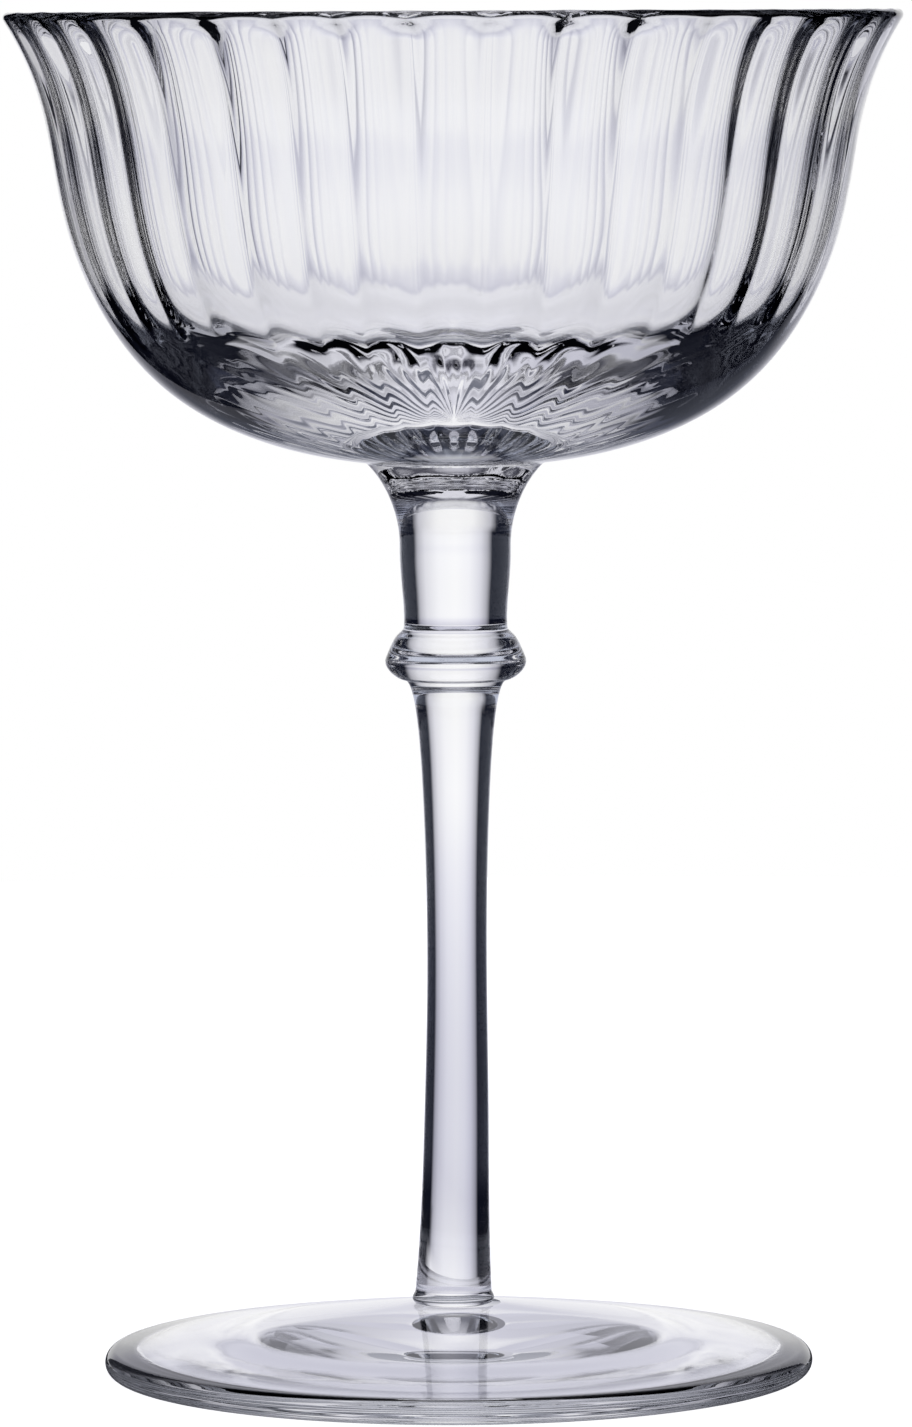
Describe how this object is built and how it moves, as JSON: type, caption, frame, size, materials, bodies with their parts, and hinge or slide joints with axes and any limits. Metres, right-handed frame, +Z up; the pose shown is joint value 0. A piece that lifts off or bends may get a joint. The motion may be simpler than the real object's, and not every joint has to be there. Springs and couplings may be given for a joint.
{
  "type": "cocktail glass",
  "caption": "Stemmed coupe cocktail glass in clear glass: flared bowl with upright ribs inside, waisted neck, ring knop, slender drawn shaft and a wide round foot.",
  "frame": {"origin": "on the table, under the middle of the foot and the bowl", "axes": "+Z up along the stem, from the foot to the rim; -Y is the side seen in the picture, +X is its right"},
  "size_m": [0.105, 0.1048, 0.16],
  "materials": {
    "bowl_glass": "fire polished",
    "neck_glass": "fire polished",
    "knop_glass": "fire polished",
    "shaft_glass": "fire polished",
    "collar_glass": "fire polished",
    "foot_glass": "fire polished"
  },
  "bodies": {
    "root": {"bowl": "bowl_glass", "stem_neck": "neck_glass", "stem_knop": "knop_glass", "stem_shaft": "shaft_glass", "foot_collar": "collar_glass", "foot": "foot_glass"}
  },
  "joints": []
}
